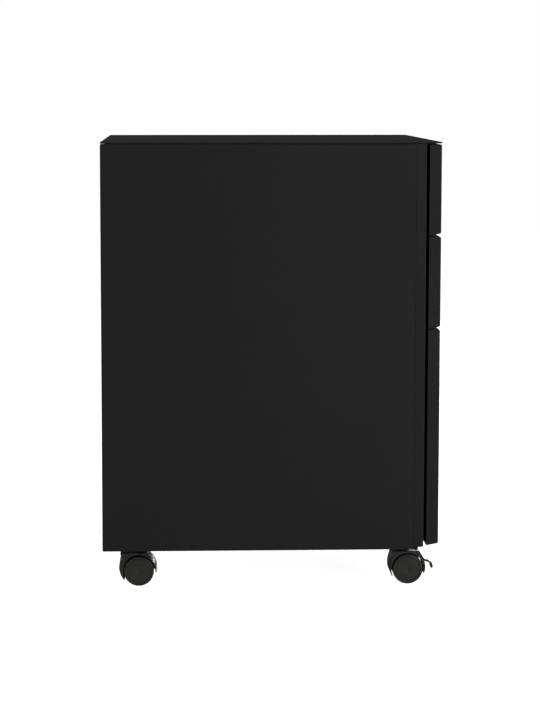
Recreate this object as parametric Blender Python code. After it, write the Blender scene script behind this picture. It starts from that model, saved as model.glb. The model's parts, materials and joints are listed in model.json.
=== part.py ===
"""Rolling pedestal cabinet: a sheet-steel carcass with two shallow drawers and one filing drawer on
telescopic slides, a cam lock with a rear locking bar, and four twin-wheel casters, the front two braked.

X runs across the cabinet, -Y is the drawer side and +Z is up. The origin is on the floor, under the
centre. Left and right are as seen from the drawer side, so left is -X. Lengths are in metres.
"""

import math

import bmesh
import bpy
from mathutils import Matrix, Vector

# Overall size
WIDTH = 0.390
DEPTH = 0.450
HEIGHT = 0.600
FRONT = -DEPTH / 2
REAR = DEPTH / 2
HALF = WIDTH / 2

# Sheet metal
SHEET = 0.0010
STOUT = 0.0012
TOUCH = 0.0003
FOLD = 0.0015
FLANGE = 0.012
FIT = 0.0007

# Carcass
CARCASS_BOTTOM = 0.054
FACE_DEPTH = 0.016
FACE_GAP = 0.004
CARCASS_FRONT = FRONT + FACE_DEPTH + FACE_GAP
TOP_THICK = 0.002
PANEL_TOP = HEIGHT - TOP_THICK - 0.0005
STILE_WIDTH = 0.0132
STILE_BOTTOM = CARCASS_BOTTOM + 0.004
POST_INNER = HALF - 0.0075
BASE_BOTTOM = CARCASS_BOTTOM + SHEET + TOUCH
BASE_FLANGE = 0.010
BACK_FLANGE = 0.010
RAIL_DEPTH = 0.019
RAIL_TOP = 0.068
UPRIGHT_FRONT = 0.160
UPRIGHT_REAR = 0.188
UPRIGHT_BOTTOM = 0.070
UPRIGHT_TOP = 0.590

# Drawers: the lower and upper edge of each face, and of the box behind it
FACE_HALF = HALF - 0.001
FACES = {1: (0.4790, 0.5965), 2: (0.3550, 0.4745), 3: (0.0620, 0.3506)}
FACE_CHIN = 0.0030
BOXES = {1: (0.4870, 0.5600), 2: (0.3640, 0.4380), 3: (0.0720, 0.3000)}
BOX_HALF = 0.1742
BOX_REAR = 0.1900
PULL_HALF = 0.055
PULL_HEIGHT = 0.026
PULL_DROP = 0.012
PULL_DEPTH = 0.0130
PULL_UNDERCUT = 0.004
HANGER_FRONT = -0.195
HANGER_REAR = 0.180
HANGER_BOTTOM = 0.268
HANGER_SHELF = 0.285
HANGER_TOP = 0.296
HANGER_REACH = 0.010

# Telescopic slides, which fill the space between post and drawer box
SLIDE_FRONT = CARCASS_FRONT + 0.002
SLIDE_REAR = BOX_REAR
SLIDE_OUTER = POST_INNER - TOUCH
SLIDE_INNER = BOX_HALF + TOUCH
SLIDE_HEIGHTS = {1: 0.5230, 2: 0.4000, 3: 0.1800}
SLIDE_HALF = 0.0190
FULL_SLIDE_HALF = 0.0230
BALL_SPACE = 0.0028
OUTER_EDGE = SLIDE_INNER + 0.0030
MIDDLE_EDGE = SLIDE_INNER + 0.0020
INNER_EDGE = SLIDE_INNER + 0.0080

# Lock
LOCK_X = 0.150
LOCK_Z = 0.5760
LOCK_RADIUS = 0.0090
LOCK_REAR = FRONT + FACE_DEPTH + 0.001
NUT_RADIUS = 0.0115
NUT_FRONT = FRONT + 0.0025
NUT_REAR = FRONT + 0.0060
PLUG_RADIUS = 0.0060
PLUG_FRONT = FRONT + 0.0005
KEYWAY_HALF = 0.0006
KEYWAY_REACH = 0.0042
KEYWAY_DEPTH = 0.006
CAM_FRONT = -0.2012
CAM_THICK = 0.0020
CAM_REACH = 0.0165
CAM_HALF = 0.0050
CAM_TIP_HALF = 0.0030
HEM_FRONT = -0.2030
HEM_REAR = 0.2130
HEM_HALF = 0.1825
HEM_BOTTOM = 0.5860
BAR_HALF = 0.012
BAR_FRONT = 0.2040
BAR_THICK = 0.0020
BAR_LIFT = 0.0020
BAR_BOTTOM = 0.080
BAR_TOP = 0.580
HOOK_REACH = 0.0050
HOOK_HEIGHT = 0.0125
HOOK_THICK = 0.0020
GUIDE_BOTTOMS = {"lower": 0.100, "upper": 0.530}
GUIDE_HEIGHT = 0.015
GUIDE_FOOT = 0.010
GUIDE_SLACK = 0.0008

# Casters
WHEEL_RADIUS = 0.0205
WHEEL_FACETS = 24
WHEEL_INNER = 0.0068
WHEEL_OUTER = 0.0195
WHEEL_BORE_END = 0.0165
WHEEL_CHAMFER = 0.0012
TRAIL = 0.0045
CASTER_X = 0.1500
REAR_KINGPIN = 0.1725
FRONT_KINGPIN = -0.1830
PLATE_TOP = BASE_BOTTOM - TOUCH
PLATE_SIDE = 0.034
PLATE_THICK = 0.0025
KINGPIN_RADIUS = 0.0035
KINGPIN_END = 0.0285
BOSS_RADIUS = 0.0075
HOOD_HALF = 0.0200
HOOD_TOP = 0.0450
HOOD_INSIDE = 0.0222
HOOD_LINING = HOOD_INSIDE + 0.0002
WEB_HALF = 0.0065
WEB_RADIUS = 0.0160
AXLE_RADIUS = 0.0025
AXLE_HALF = 0.0160
CLEARANCE = 0.0003
LEVER_HALF = 0.0085
LEVER_THICK = 0.0026
LEVER_BARREL = 0.0021
LEVER_PIVOT = (0.0145, 0.0205)
TRUNNION_RADIUS = 0.0015
TRUNNION_REACH = 0.0030

# Corners from the wheel's centre, or for the lever from its pivot, as (trail, height)
PLAIN_CROWN = [(0.0252, 0.0225), (0.0236, 0.0245), (-0.0105, 0.0245), (-0.0236, 0.0108)]
BRAKED_CROWN = [(0.0185, 0.0216), (0.0150, 0.0245), (-0.0215, 0.0245), (-0.0229, 0.0230), (-0.0232, 0.0165)]
LEVER_SLOT = [(0.0110, 0.0178), (0.0215, 0.0075), (0.0320, 0.0075), (0.0320, 0.0320), (0.0110, 0.0320)]
LEVER_CURVE = [
    (0, 0),
    (0.0055, -0.0022),
    (0.0105, -0.0042),
    (0.0145, -0.0062),
    (0.0176, -0.0092),
    (0.0196, -0.0132),
    (0.0205, -0.0180),
]

COLOURS = {
    "powder_coat": ((0.0168, 0.0168, 0.0168), 0.45, 0.0),
    "inner_coat": ((0.030, 0.030, 0.031), 0.5, 0.0),
    "zinc": ((0.55, 0.56, 0.57), 0.35, 1.0),
    "chrome": ((0.75, 0.75, 0.76), 0.15, 1.0),
    "steel": ((0.42, 0.42, 0.43), 0.3, 1.0),
    "nylon": ((0.027, 0.028, 0.022), 0.4, 0.0),
    "tread": ((0.024, 0.025, 0.020), 0.55, 0.0),
}


def clear_scene():
    for obj in list(bpy.data.objects):
        bpy.data.objects.remove(obj, do_unlink=True)


def make_material(slot):
    colour, roughness, metallic = COLOURS[slot]
    material = bpy.data.materials.new(slot)
    material.use_nodes = True
    shader = material.node_tree.nodes["Principled BSDF"]
    shader.inputs["Base Color"].default_value = (*colour, 1.0)
    shader.inputs["Roughness"].default_value = roughness
    shader.inputs["Metallic"].default_value = metallic
    return material


def make_body(name, at, turn=0.0):
    """An empty on a moving body's joint axis. What rides on the body is its child."""
    empty = bpy.data.objects.new(name, None)
    empty.empty_display_size = 0.02
    empty.location = at
    empty.rotation_euler = (0, 0, turn)
    bpy.context.collection.objects.link(empty)
    return empty


def make_object(name, mesh, slot, body, at=(0, 0, 0), turn=0.0):
    """An object in its body's own frame."""
    obj = bpy.data.objects.new(name, mesh)
    bpy.context.collection.objects.link(obj)
    if not mesh.materials:
        mesh.materials.append(make_material(slot))
    obj.parent = body
    obj.location = at
    obj.rotation_euler = (0, 0, turn)
    return obj


def make_in_place(name, mesh, slot, body):
    """An object whose mesh is drawn in world coordinates, on a body that isn't turned."""
    obj = make_object(name, mesh, slot, body)
    obj.matrix_parent_inverse = Matrix.Translation(-body.location)
    return obj


def to_mesh(shape, name):
    mesh = bpy.data.meshes.new(name)
    shape.to_mesh(mesh)
    shape.free()
    mesh.shade_smooth()
    mesh.set_sharp_from_angle(angle=math.radians(35))
    return mesh


def along(axis, distance, first, second):
    """A point at a distance along an axis, with its other two coordinates in X, Y, Z order."""
    point = [first, second]
    point.insert("XYZ".index(axis), distance)
    return Vector(point)


def block(low, high):
    shape = bmesh.new()
    bmesh.ops.create_cube(shape, size=1.0)
    low = Vector(low)
    high = Vector(high)
    for vert in shape.verts:
        vert.co = (low + high) / 2 + vert.co * (high - low)
    return shape


def prism(outline, axis, low, high):
    """A closed outline extruded along an axis."""
    shape = bmesh.new()
    near = [shape.verts.new(along(axis, low, *point)) for point in outline]
    far = [shape.verts.new(along(axis, high, *point)) for point in outline]
    shape.faces.new(near)
    shape.faces.new(list(reversed(far)))
    for i in range(len(near)):
        j = (i + 1) % len(near)
        shape.faces.new((near[j], near[i], far[i], far[j]))
    bmesh.ops.recalc_face_normals(shape, faces=shape.faces)
    return shape


def turned(profile, axis, at=(0, 0, 0), segments=24):
    """A round solid about an axis. The profile gives (distance along it, radius) from end to end."""
    shape = bmesh.new()
    rings = []
    for distance, radius in profile:
        if radius == 0:
            rings.append([shape.verts.new(along(axis, distance, 0, 0))])
            continue
        angles = [2 * math.pi * (i + 0.5) / segments for i in range(segments)]
        ring = [along(axis, distance, radius * math.cos(a), radius * math.sin(a)) for a in angles]
        rings.append([shape.verts.new(point) for point in ring])
    for ring, after in zip(rings, rings[1:]):
        for i in range(segments):
            corners = [ring[i % len(ring)], ring[(i + 1) % len(ring)]]
            corners += [after[(i + 1) % len(after)], after[i % len(after)]]
            shape.faces.new(list(dict.fromkeys(corners)))
    bmesh.ops.recalc_face_normals(shape, faces=shape.faces)
    bmesh.ops.translate(shape, verts=shape.verts, vec=at)
    return shape


def rod(axis, low, high, radius, at=(0, 0, 0), segments=16):
    return turned([(low, 0), (low, radius), (high, radius), (high, 0)], axis, at, segments)


def face_outwards(shape, inside):
    """Turns an open sheet's faces away from a point inside it."""
    bmesh.ops.recalc_face_normals(shape, faces=shape.faces)
    shape.normal_update()
    inside = Vector(inside)
    facing = 0.0
    for face in shape.faces:
        facing += face.normal.dot(face.calc_center_median() - inside) * face.calc_area()
    if facing < 0:
        bmesh.ops.reverse_faces(shape, faces=shape.faces)
    return shape


def bent_strip(corners, axis, low, high, inside):
    """A strip bent along the corners and extruded along an axis, as an open sheet."""
    shape = bmesh.new()
    near = [shape.verts.new(along(axis, low, *corner)) for corner in corners]
    far = [shape.verts.new(along(axis, high, *corner)) for corner in corners]
    for i in range(len(corners) - 1):
        shape.faces.new((near[i], near[i + 1], far[i + 1], far[i]))
    return face_outwards(shape, inside)


def pan(low, high, open_sides):
    """A tray of thin sheet. open_sides lists the outward directions that have no wall."""
    shape = block(low, high)
    shape.normal_update()
    missing = [f for f in shape.faces if any(f.normal.dot(Vector(side)) > 0.9 for side in open_sides)]
    bmesh.ops.delete(shape, geom=missing, context="FACES")
    centre = (Vector(low) + Vector(high)) / 2
    return face_outwards(shape, centre)


def give_thickness(obj, sheet, fold=FOLD, steps=2):
    """Rounds an open sheet's folds, then thickens it towards its inside."""
    if fold:
        bevel = obj.modifiers.new("folds", "BEVEL")
        bevel.width = fold
        bevel.segments = steps
        bevel.limit_method = "ANGLE"
        bevel.angle_limit = math.radians(30)
    solidify = obj.modifiers.new("sheet", "SOLIDIFY")
    solidify.thickness = sheet
    solidify.offset = -1
    solidify.use_even_offset = True
    return obj


def make_helper(shape, name):
    helper = bpy.data.objects.new(name, to_mesh(shape, name))
    bpy.context.collection.objects.link(helper)
    helper.hide_render = True
    helper.display_type = "WIRE"
    return helper


def add_boolean(obj, helper, operation):
    boolean = obj.modifiers.new(helper.name, "BOOLEAN")
    boolean.operation = operation
    boolean.solver = "EXACT"
    boolean.object = helper


def built_up(name, add, cut=()):
    """One mesh: the shapes in add joined, less the shapes in cut."""
    solid = make_helper(add[0], name)
    helpers = [(make_helper(shape, name + "_add"), "UNION") for shape in add[1:]]
    helpers += [(make_helper(shape, name + "_cut"), "DIFFERENCE") for shape in cut]
    for helper, operation in helpers:
        add_boolean(solid, helper, operation)
    graph = bpy.context.evaluated_depsgraph_get()
    mesh = bpy.data.meshes.new_from_object(solid.evaluated_get(graph))
    for helper in [solid] + [helper for helper, _ in helpers]:
        bpy.data.objects.remove(helper, do_unlink=True)
    mesh.name = name
    mesh.shade_smooth()
    mesh.set_sharp_from_angle(angle=math.radians(35))
    return mesh


def make_sheet_part(name, shape, slot, body, sheet=SHEET, fold=FOLD):
    obj = make_in_place(name, to_mesh(shape, name), slot, body)
    return give_thickness(obj, sheet, fold)


# Carcass


def make_side_panel(name, side, body):
    low = (side * HALF - (FLANGE if side > 0 else 0), CARCASS_FRONT + STILE_WIDTH + TOUCH, CARCASS_BOTTOM)
    high = (side * HALF + (FLANGE if side < 0 else 0), REAR, PANEL_TOP)
    shape = pan(low, high, [(-side, 0, 0), (0, -1, 0)])
    make_sheet_part(name, shape, "powder_coat", body)


def make_front_stile(name, side, body):
    """A channel at the front corner: its outer wall is flush with the side panel."""
    corners = [
        (side * HALF, CARCASS_FRONT + STILE_WIDTH),
        (side * HALF, CARCASS_FRONT),
        (side * POST_INNER, CARCASS_FRONT),
        (side * POST_INNER, CARCASS_FRONT + STILE_WIDTH),
    ]
    inside = (side * (HALF + POST_INNER) / 2, CARCASS_FRONT + STILE_WIDTH, HEIGHT / 2)
    shape = bent_strip(corners, "Z", STILE_BOTTOM, PANEL_TOP, inside)
    make_sheet_part(name, shape, "powder_coat", body)


def make_rear_upright(name, side, body):
    """A channel inside the side panel, which carries the slides' rear ends."""
    outer = side * (HALF - SHEET - TOUCH)
    inner = side * POST_INNER
    corners = [(outer, UPRIGHT_FRONT), (inner, UPRIGHT_FRONT), (inner, UPRIGHT_REAR), (outer, UPRIGHT_REAR)]
    inside = (outer, (UPRIGHT_FRONT + UPRIGHT_REAR) / 2, HEIGHT / 2)
    shape = bent_strip(corners, "Z", UPRIGHT_BOTTOM, UPRIGHT_TOP, inside)
    make_sheet_part(name, shape, "inner_coat", body, fold=0)


def make_back_panel(body):
    outer = REAR - SHEET - TOUCH
    half = HALF - 2 * SHEET
    low = (-half, outer - BACK_FLANGE, BASE_BOTTOM + FIT)
    high = (half, outer, PANEL_TOP - 2 * SHEET)
    make_sheet_part("back_panel", pan(low, high, [(0, -1, 0)]), "powder_coat", body)


def make_top_panel(body):
    """A plate over the whole cabinet, with a hem below it that fits between the side panels."""
    plate = block((-HALF, FRONT, HEIGHT - TOP_THICK), (HALF, REAR, HEIGHT))
    hem = block((-HEM_HALF, HEM_FRONT, HEM_BOTTOM), (HEM_HALF, HEM_REAR, HEIGHT - TOP_THICK / 2))
    room_low = (-HEM_HALF + STOUT, HEM_FRONT + STOUT, HEM_BOTTOM - SHEET)
    room = block(room_low, (HEM_HALF - STOUT, HEM_REAR - STOUT, HEIGHT - TOP_THICK))
    mesh = built_up("top_panel", [plate, hem], [room])
    make_in_place("top_panel", mesh, "powder_coat", body)


def make_base_panel(body):
    low = (-POST_INNER + FIT, CARCASS_FRONT + RAIL_DEPTH + TOUCH, BASE_BOTTOM)
    high = (POST_INNER - FIT, HEM_REAR, BASE_BOTTOM + BASE_FLANGE)
    shape = pan(low, high, [(0, 0, 1)])
    make_sheet_part("base_panel", shape, "inner_coat", body, sheet=STOUT)


def make_bottom_front_rail(body):
    """A channel between the stiles, under the filing drawer."""
    front = CARCASS_FRONT + SHEET / 2
    rear = CARCASS_FRONT + RAIL_DEPTH
    corners = [(rear, BASE_BOTTOM), (front, BASE_BOTTOM), (front, RAIL_TOP), (rear, RAIL_TOP)]
    inside = (0, rear, (BASE_BOTTOM + RAIL_TOP) / 2)
    half = POST_INNER - FIT
    shape = bent_strip(corners, "X", -half, half, inside)
    make_sheet_part("bottom_front_rail", shape, "powder_coat", body, sheet=STOUT)


# Drawers


def face_grid(bottom, top):
    """A flat front with a pull pressed into it. Its edges turn back, and the lower one slopes."""
    shape = bmesh.new()
    pull_top = top - PULL_DROP
    columns = [-FACE_HALF, -PULL_HALF, PULL_HALF, FACE_HALF]
    rows = [bottom, pull_top - PULL_HEIGHT, pull_top, top]
    grid = [[shape.verts.new((x, FRONT, z)) for x in columns] for z in rows]
    cells = {}
    for row in range(3):
        for column in range(3):
            lower = grid[row]
            upper = grid[row + 1]
            corners = (lower[column], lower[column + 1], upper[column + 1], upper[column])
            cells[row, column] = shape.faces.new(corners)
    edges = [edge for edge in shape.edges if edge.is_boundary]
    turned_back = bmesh.ops.extrude_edge_only(shape, edges=edges)
    verts = [item for item in turned_back["geom"] if isinstance(item, bmesh.types.BMVert)]
    bmesh.ops.translate(shape, verts=verts, vec=(0, FACE_DEPTH, 0))
    chin = [vert for vert in verts if vert.co.z < bottom + FOLD]
    bmesh.ops.translate(shape, verts=chin, vec=(0, 0, -FACE_CHIN))
    pressed = bmesh.ops.extrude_discrete_faces(shape, faces=[cells[1, 1]])
    pocket = pressed["faces"][0]
    bmesh.ops.translate(shape, verts=pocket.verts, vec=(0, PULL_DEPTH, 0))
    for vert in pocket.verts:
        if vert.co.z > pull_top - PULL_HEIGHT / 2:
            vert.co.z += PULL_UNDERCUT
    return face_outwards(shape, (0, FRONT + FACE_DEPTH, (bottom + top) / 2))


def make_drawer(number, body):
    bottom, top = FACES[number]
    face = make_sheet_part(f"drawer_face_{number}", face_grid(bottom, top), "powder_coat", body)
    box_bottom, box_top = BOXES[number]
    low = (-BOX_HALF, FRONT + FACE_DEPTH + TOUCH, box_bottom)
    high = (BOX_HALF, BOX_REAR, box_top)
    shape = pan(low, high, [(0, 0, 1)])
    make_sheet_part(f"drawer_box_{number}", shape, "inner_coat", body)
    return face


def make_hanging_rail(name, side, body):
    """A bent strip on the inside of the filing drawer's wall, whose lip carries hanging files."""
    wall = side * (BOX_HALF - SHEET - TOUCH)
    lip = side * (BOX_HALF - HANGER_REACH)
    corners = [(wall, HANGER_BOTTOM), (wall, HANGER_SHELF), (lip, HANGER_SHELF), (lip, HANGER_TOP)]
    shape = bent_strip(corners, "Y", HANGER_FRONT, HANGER_REAR, (0, 0, HANGER_BOTTOM))
    make_sheet_part(name, shape, "zinc", body, fold=0)


# Telescopic slides


def channel(side, web, edge, middle, half_height, front, rear):
    """A C section that lies on its side: a web against X, with two lips towards the edge."""
    corners = [
        (side * edge, middle - half_height),
        (side * web, middle - half_height),
        (side * web, middle + half_height),
        (side * edge, middle + half_height),
    ]
    return bent_strip(corners, "Y", front, rear, (side * edge, 0, middle))


def make_slide(number, side_name, side, carcass, drawer, middle_body=None):
    middle = SLIDE_HEIGHTS[number]
    half = SLIDE_HALF if middle_body is None else FULL_SLIDE_HALF
    step = STOUT + BALL_SPACE
    outer = channel(side, SLIDE_OUTER, OUTER_EDGE, middle, half, SLIDE_FRONT, SLIDE_REAR)
    make_sheet_part(f"slide_{number}_outer_{side_name}", outer, "zinc", carcass, STOUT)
    if middle_body is not None:
        half -= step
        web = SLIDE_OUTER - STOUT - FIT
        centre = channel(side, web, MIDDLE_EDGE, middle, half, SLIDE_FRONT, SLIDE_REAR)
        name = f"slide_{number}_middle_{side_name}"
        make_sheet_part(name, centre, "zinc", middle_body, STOUT)
    half -= step
    inner = channel(side, SLIDE_INNER, INNER_EDGE, middle, half, SLIDE_FRONT, SLIDE_REAR)
    make_sheet_part(f"slide_{number}_inner_{side_name}", inner, "zinc", drawer, STOUT)


# Lock


def make_lock(face, drawer, key):
    at = (LOCK_X, 0, LOCK_Z)
    through = 0.004
    hole = make_helper(rod("Y", FRONT - through, FRONT + through, LOCK_RADIUS + TOUCH, at, 24), "lock_hole")
    hole.parent = drawer
    hole.matrix_parent_inverse = Matrix.Translation(-drawer.location)
    add_boolean(face, hole, "DIFFERENCE")
    barrel = rod("Y", FRONT, LOCK_REAR, LOCK_RADIUS, at, 24)
    nut = rod("Y", NUT_FRONT, NUT_REAR, NUT_RADIUS, at, 6)
    bore = rod("Y", FRONT - through, LOCK_REAR + through, PLUG_RADIUS + CLEARANCE, at, 24)
    housing = built_up("lock_housing", [barrel, nut], [bore])
    make_in_place("lock_housing", housing, "chrome", drawer)
    plug = rod("Y", PLUG_FRONT, CAM_FRONT - TOUCH, PLUG_RADIUS, at, 24)
    slot_low = (LOCK_X - KEYWAY_HALF, PLUG_FRONT - through, LOCK_Z - KEYWAY_REACH)
    slot_high = (LOCK_X + KEYWAY_HALF, PLUG_FRONT + KEYWAY_DEPTH, LOCK_Z + KEYWAY_REACH)
    keyway = block(slot_low, slot_high)
    make_in_place("lock_plug", built_up("lock_plug", [plug], [keyway]), "chrome", key)
    make_cam(key)


def make_cam(key):
    """A flat finger behind the plug. It points inwards, and a quarter turn puts it behind the hem."""
    tip = LOCK_X - CAM_REACH
    outline = [(LOCK_X, LOCK_Z - CAM_HALF), (tip, LOCK_Z - CAM_TIP_HALF)]
    outline += [(tip, LOCK_Z + CAM_TIP_HALF), (LOCK_X, LOCK_Z + CAM_HALF)]
    for i in range(1, 6):
        angle = math.pi / 2 - i * math.pi / 6
        outline.append((LOCK_X + CAM_HALF * math.cos(angle), LOCK_Z + CAM_HALF * math.sin(angle)))
    cam = prism(outline, "Y", CAM_FRONT, CAM_FRONT + CAM_THICK)
    make_in_place("lock_cam", to_mesh(cam, "lock_cam"), "steel", key)


def make_lock_bar(body):
    """A bar behind the drawers, with a hook over each box's rear wall. Lowered, the hooks hold the boxes."""
    rear = BAR_FRONT + BAR_THICK
    tip = BOX_REAR - HOOK_REACH
    outline = [(BAR_FRONT, BAR_BOTTOM), (rear, BAR_BOTTOM), (rear, BAR_TOP), (BAR_FRONT, BAR_TOP)]
    for _, box_top in sorted(BOXES.values(), reverse=True):
        over = box_top + HOOK_HEIGHT
        under = box_top + BAR_LIFT
        outline += [(BAR_FRONT, over), (tip, over), (tip, under), (tip + HOOK_THICK, under)]
        outline += [(tip + HOOK_THICK, over - HOOK_THICK), (BAR_FRONT, over - HOOK_THICK)]
    bar = prism(outline, "X", -BAR_HALF, BAR_HALF)
    make_in_place("lock_bar", to_mesh(bar, "lock_bar"), "zinc", body)


def make_bar_guide(name, bottom, body):
    """A hat-shaped bracket that holds the locking bar against the back panel."""
    near = BAR_FRONT - GUIDE_SLACK
    far = REAR - 2 * SHEET - 2 * TOUCH
    wall = BAR_HALF + GUIDE_SLACK
    foot = wall + GUIDE_FOOT
    corners = [(-foot, far), (-wall, far), (-wall, near), (wall, near), (wall, far), (foot, far)]
    shape = bent_strip(corners, "Z", bottom, bottom + GUIDE_HEIGHT, (0, 2 * REAR, bottom))
    obj = make_sheet_part(name, shape, "zinc", body, fold=0)
    obj.modifiers["sheet"].offset = 1


# Casters: the origin is on the floor under the kingpin, and +Y is the way that the wheels trail


def arc(radius, start, end, steps, centre):
    """Points about a centre, from one angle to another in degrees above the trailing direction."""
    angles = [math.radians(start + (end - start) * i / steps) for i in range(steps + 1)]
    return [(centre[0] + radius * math.cos(a), centre[1] + radius * math.sin(a)) for a in angles]


def hood_outline(braked):
    """The hood from the side, as (trail, height): over the wheels, down to two tips and round the web."""
    hub = (TRAIL, WHEEL_RADIUS)
    if braked:
        trailing_tip = -12
        leading_tip = 207
        trailing = arc(0.0256, trailing_tip, 28, 3, hub)
        leading = arc(0.0260, 160, leading_tip, 4, hub)
        crown = BRAKED_CROWN
    else:
        trailing_tip = -27
        leading_tip = 186
        trailing = arc(0.0263, trailing_tip, 26, 4, hub)
        leading = arc(0.0254, 164, leading_tip, 2, hub)
        crown = PLAIN_CROWN
    over = [(hub[0] + trail, hub[1] + height) for trail, height in crown]
    under = arc(HOOD_LINING, leading_tip, 176, 2, hub)
    web = arc(WEB_RADIUS, 176, 364, 10, hub)
    back = arc(HOOD_LINING, 4, trailing_tip, 2, hub)
    return trailing + over + leading + under + web + back


def hood_mesh(braked):
    hub = (0, TRAIL, WHEEL_RADIUS)
    past = 0.002
    cuts = []
    for side in (-1, 1):
        low, high = sorted((side * WEB_HALF, side * (HOOD_HALF + past)))
        cuts.append(rod("X", low, high, HOOD_INSIDE, hub, 32))
    cuts.append(rod("X", -WEB_HALF - past, WEB_HALF + past, AXLE_RADIUS + CLEARANCE, hub, 16))
    blind_end = KINGPIN_END - 0.0015
    cuts.append(rod("Z", blind_end, HOOD_TOP + past, KINGPIN_RADIUS + CLEARANCE))
    if braked:
        slot = [(TRAIL + trail, WHEEL_RADIUS + height) for trail, height in LEVER_SLOT]
        room = LEVER_HALF + 0.0008
        cuts.append(prism(slot, "X", -room, room))
        reach = LEVER_HALF + TRUNNION_REACH + 0.0005
        pivot = (0, TRAIL + LEVER_PIVOT[0], WHEEL_RADIUS + LEVER_PIVOT[1])
        cuts.append(rod("X", -reach, reach, TRUNNION_RADIUS + CLEARANCE, pivot, 12))
    solid = prism(hood_outline(braked), "X", -HOOD_HALF, HOOD_HALF)
    return built_up("hood_braked" if braked else "hood", [solid], cuts)


def wheel_mesh():
    """A wheel whose hub is at the origin and whose closed face looks along +X. A facet lies on the floor."""
    rim = WHEEL_RADIUS / math.cos(math.pi / WHEEL_FACETS)
    bore = AXLE_RADIUS + CLEARANCE
    profile = [
        (WHEEL_BORE_END, 0),
        (WHEEL_BORE_END, bore),
        (WHEEL_INNER, bore),
        (WHEEL_INNER, rim - WHEEL_CHAMFER),
        (WHEEL_INNER + WHEEL_CHAMFER, rim),
        (WHEEL_OUTER - WHEEL_CHAMFER, rim),
        (WHEEL_OUTER, rim - WHEEL_CHAMFER),
        (WHEEL_OUTER, 0),
    ]
    return to_mesh(turned(profile, "X", segments=WHEEL_FACETS), "wheel")


def plate_mesh():
    """A square plate with the boss and the kingpin below it."""
    half = PLATE_SIDE / 2
    plate = block((-half, -half, PLATE_TOP - PLATE_THICK), (half, half, PLATE_TOP))
    boss_end = HOOD_TOP + 0.0005
    steps = [
        (PLATE_TOP - PLATE_THICK / 2, 0),
        (PLATE_TOP - PLATE_THICK / 2, BOSS_RADIUS),
        (boss_end, BOSS_RADIUS),
        (boss_end, KINGPIN_RADIUS),
        (KINGPIN_END, KINGPIN_RADIUS),
        (KINGPIN_END, 0),
    ]
    return built_up("caster_plate", [plate, turned(steps, "Z", segments=16)])


def strip_outline(centreline, thickness):
    """The closed outline of a strip of even thickness about a line of points."""
    near = []
    far = []
    for i, point in enumerate(centreline):
        before = Vector(centreline[max(i - 1, 0)])
        after = Vector(centreline[min(i + 1, len(centreline) - 1)])
        normal = (after - before).normalized().orthogonal() * thickness / 2
        near.append(tuple(Vector(point) + normal))
        far.append(tuple(Vector(point) - normal))
    return near + far[::-1]


def lever_mesh():
    """A curved tab with its trunnions. The origin is on the pivot."""
    tab = prism(strip_outline(LEVER_CURVE, LEVER_THICK), "X", -LEVER_HALF, LEVER_HALF)
    barrel_half = LEVER_HALF - 0.0002
    barrel = rod("X", -barrel_half, barrel_half, LEVER_BARREL, segments=12)
    reach = LEVER_HALF + TRUNNION_REACH
    trunnions = rod("X", -reach, reach, TRUNNION_RADIUS, segments=12)
    return built_up("brake_lever", [tab, barrel, trunnions])


def make_caster(place, side, kingpin_y, braked, meshes, carcass):
    name = f"{place}_{'left' if side < 0 else 'right'}"
    turn = math.pi if kingpin_y < 0 else 0.0
    at = (side * CASTER_X, kingpin_y, 0)
    make_object(f"caster_plate_{name}", meshes["plate"], "zinc", carcass, at, turn)
    swivel = make_body(f"swivel_{name}", at, turn=turn)
    hub = (0, TRAIL, WHEEL_RADIUS)
    hood = meshes["hood_braked"] if braked else meshes["hood"]
    make_object(f"caster_hood_{name}", hood, "nylon", swivel)
    make_object(f"caster_axle_{name}", meshes["axle"], "steel", swivel, hub)
    for wheel_name, wheel_side in (("left", -1), ("right", 1)):
        faces_along_x = wheel_side * math.cos(turn) > 0
        spin = 0.0 if faces_along_x else math.pi
        make_object(f"wheel_{name}_{wheel_name}", meshes["wheel"], "tread", swivel, hub, spin)
    if braked:
        pivot = (0, TRAIL + LEVER_PIVOT[0], WHEEL_RADIUS + LEVER_PIVOT[1])
        make_object(f"brake_lever_{name}", meshes["lever"], "nylon", swivel, pivot)


def make_casters(carcass):
    meshes = {
        "plate": plate_mesh(),
        "hood": hood_mesh(False),
        "hood_braked": hood_mesh(True),
        "axle": to_mesh(rod("X", -AXLE_HALF, AXLE_HALF, AXLE_RADIUS), "axle"),
        "wheel": wheel_mesh(),
        "lever": lever_mesh(),
    }
    for side in (-1, 1):
        make_caster("rear", side, REAR_KINGPIN, False, meshes, carcass)
        make_caster("front", side, FRONT_KINGPIN, True, meshes, carcass)


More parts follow.
